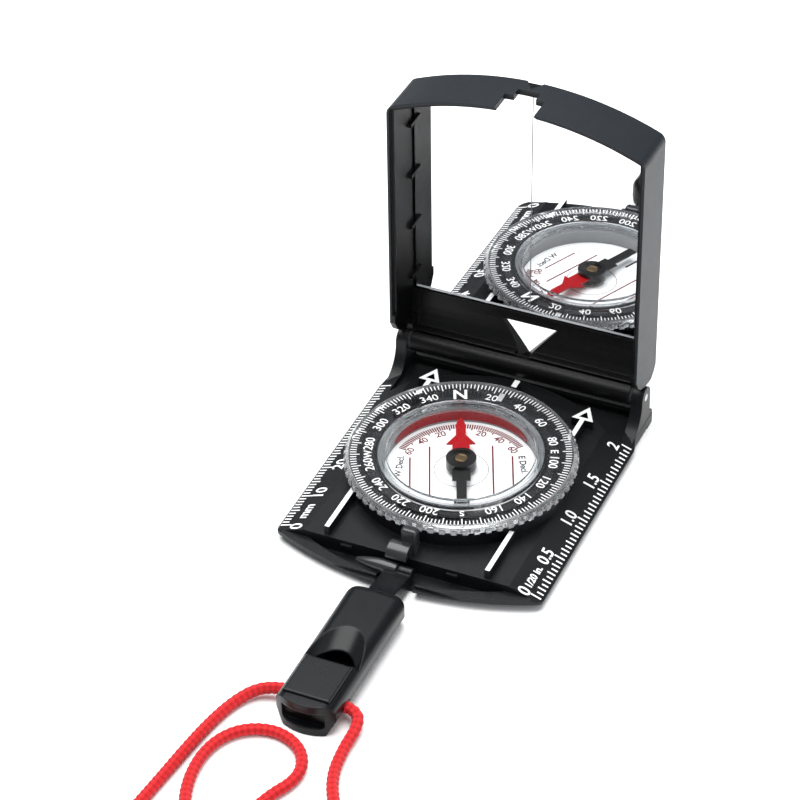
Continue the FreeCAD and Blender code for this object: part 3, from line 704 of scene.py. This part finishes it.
route = LEFT_ROUTE + coil_points() + RIGHT_ROUTE[::-1]
curve = bpy.data.curves.new("lanyard_line", "CURVE")
curve.dimensions = "3D"
spline = curve.splines.new("NURBS")
spline.points.add(len(route) - 1)
for point, (x, y, z) in zip(spline.points, route):
    point.co = (x * MM, y * MM, z * MM, 1.0)
spline.order_u = 3
spline.use_endpoint_u = True
curve.resolution_u = 16
line = add_object("lanyard_line", curve)
sampled = evaluated_mesh(line)
path = [v.co.copy() for v in sampled.vertices]
bpy.data.objects.remove(line)

# %% [markdown]
# The tube is built ring by ring. Its frame is carried along the line without twist, and
# each point's distance from the line follows the braid: two families of strands that
# wind opposite ways, each going over and under the other.

# %% Rings round the line, raised by the braid
STRANDS = 3
WEAVE = 1.35 * MM
AROUND = 28
RING_STEP = 0.3 * MM
RELIEF = 0.13


def even_points(path, step):
    """Points along the same line at an even spacing."""
    spaced = [path[0]]
    left = step
    for a, b in zip(path, path[1:]):
        run = (b - a).length
        while run >= left and run > 0:
            a = a + (b - a) * (left / run)
            spaced.append(a)
            run -= left
            left = step
        left -= run
    spaced.append(path[-1])
    return spaced


def braided_tube(name, path):
    spaced = even_points(path, RING_STEP)
    points = []
    faces = []
    uv = []
    tangent = (spaced[1] - spaced[0]).normalized()
    side = tangent.orthogonal().normalized()
    for i, centre in enumerate(spaced):
        ahead = spaced[min(i + 1, len(spaced) - 1)] - spaced[max(i - 1, 0)]
        tangent = ahead.normalized()
        side = (side - tangent * side.dot(tangent)).normalized()
        up = tangent.cross(side)
        along = i * RING_STEP / WEAVE
        for k in range(AROUND):
            round_share = k / AROUND
            a = math.cos(2 * math.pi * (STRANDS * round_share + along / 2))
            b = math.cos(2 * math.pi * (STRANDS * round_share - along / 2))
            radius = (CORD_RADIUS - RELIEF + RELIEF * a * b) * MM
            angle = 2 * math.pi * round_share
            points.append(centre + (side * math.cos(angle) + up * math.sin(angle)) * radius)
    for i in range(len(spaced) - 1):
        for k in range(AROUND):
            j = (k + 1) % AROUND
            faces.append([i * AROUND + k, i * AROUND + j,
                          (i + 1) * AROUND + j, (i + 1) * AROUND + k])
            v0 = i * RING_STEP / WEAVE
            v1 = (i + 1) * RING_STEP / WEAVE
            uv += [(k / AROUND, v0), ((k + 1) / AROUND, v0),
                   ((k + 1) / AROUND, v1), (k / AROUND, v1)]
    last = (len(spaced) - 1) * AROUND
    faces.append(list(range(AROUND))[::-1])
    faces.append([last + k for k in range(AROUND)])
    uv += [(0.0, 0.0)] * (2 * AROUND)
    mesh = bpy.data.meshes.new(name)
    mesh.from_pydata(points, [], faces)
    layer = mesh.uv_layers.new(name="weave")
    for corner, place in zip(layer.data, uv):
        corner.uv = place
    mesh.shade_smooth()
    return add_object(name, mesh)


lanyard = braided_tube("lanyard", path)
print("lanyard vertices:", len(lanyard.data.vertices))

# %% Red braid: painted light on the raised strands, painted shade in the low crossings
braid = Finish("red_braid", Sheen_Weight=0.1, Sheen_Roughness=0.5, Specular_IOR_Level=0.25)
weave_uv = braid.node("ShaderNodeTexCoord", {}, {}, "UV")
split = braid.node("ShaderNodeSeparateXYZ", {}, {"Vector": weave_uv}, "X")
around = split * STRANDS
along = Value(braid, split.socket.node.outputs["Y"]) * 0.5
# The braid's colour follows its relief: painted shade where the strands dip, painted light where
# they lie on top, with a quarter from a random fibre tone.
painted_relief_shade = (2 * math.pi * (around + along)).cosine() * (2 * math.pi * (around - along)).cosine()
fibre = braid.noise(4200.0, 3.0, 0.7)
light = (painted_relief_shade * 0.5 + 0.5) * 0.75 + fibre * 0.25
braid.feed(Base_Color=braid.blend(light, rgb(0.27, 0.004, 0.006), rgb(0.64, 0.012, 0.016)),
           Roughness=0.85 - 0.25 * light, Normal=braid.bump(fibre, 0.00006, 0.8))
lanyard.data.materials.append(braid.material)
nodes["lanyard_through"].data.materials.clear()
nodes["lanyard_through"].data.materials.append(braid.material)
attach(lanyard, "whistle")
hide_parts("lanyard_left_run", "lanyard_right_run", "lanyard_coil")

# %% [markdown]
# ## Table, light and camera
# The table is a plain pale sheet. A wide soft light hangs above, a weaker one fills from
# the right, and the sky is a dim grey with a trace of blue, so the black mouldings keep
# their depth while the table stays nearly white. The camera stands to the right of the
# compass's front, looks down at 38 degrees, and has a long lens.

# %% A pale table
floor_mesh = bpy.data.meshes.new("table")
floor_mesh.from_pydata([(-3, -3, 0), (3, -3, 0), (3, 3, 0), (-3, 3, 0)], [], [[0, 1, 2, 3]])
table = add_object("table", floor_mesh)
pale = Finish("pale_table", Roughness=0.9, Specular_IOR_Level=0.1)
pale.feed(Base_Color=pale.blend(pale.noise(6.0), rgb(0.90, 0.90, 0.90), rgb(0.92, 0.92, 0.92)))
floor_mesh.materials.append(pale.material)

# %% Soft lights
def soft_light(name, place, target, width, height, watts):
    data = bpy.data.lights.new(name, "AREA")
    data.shape = "RECTANGLE"
    data.size = width
    data.size_y = height
    data.energy = watts
    lamp = add_object(name, data)
    lamp.location = place
    lamp.rotation_euler = (Vector(target) - Vector(place)).to_track_quat("-Z", "Y").to_euler()
    return lamp


soft_light("overhead", (-0.15, 0.05, 1.1), (0, 0, 0), width=1.2, height=1.2, watts=30.0)
soft_light("right_fill", (0.9, -0.5, 0.7), (0, 0, 0.03), width=0.7, height=0.7, watts=5.0)
SKY_STRENGTH = 0.26
world = bpy.data.worlds.new("studio")
world.use_nodes = True
world.node_tree.nodes["Background"].inputs["Color"].default_value = rgb(0.9, 0.95, 1.0)
world.node_tree.nodes["Background"].inputs["Strength"].default_value = SKY_STRENGTH
bpy.context.scene.world = world

# %% The camera
AZIMUTH = math.radians(25.063)
ELEVATION = math.radians(38.366)
ROLL = math.radians(-1.700)
LENS = 139.71
CAMERA_PLACE = (0.19917, -0.45495, 0.41785)
camera_data = bpy.data.cameras.new("camera")
camera_data.lens = LENS
camera_data.sensor_width = 36.0
camera_data.clip_end = 20.0
camera = add_object("camera", camera_data)
back = Vector((math.sin(AZIMUTH) * math.cos(ELEVATION), -math.cos(AZIMUTH) * math.cos(ELEVATION),
               math.sin(ELEVATION)))
level = Vector((0, 0, 1)).cross(back).normalized()
rise = back.cross(level)
right = level * math.cos(ROLL) + rise * math.sin(ROLL)
up = rise * math.cos(ROLL) - level * math.sin(ROLL)
camera.matrix_world = Matrix([[right[i], up[i], back[i], c] for i, c in
                              enumerate(CAMERA_PLACE)] + [[0, 0, 0, 1]])
bpy.context.scene.camera = camera
bpy.context.scene.view_settings.view_transform = "Standard"
print("camera distance, mm:", round(camera.matrix_world.translation.length / MM, 1))
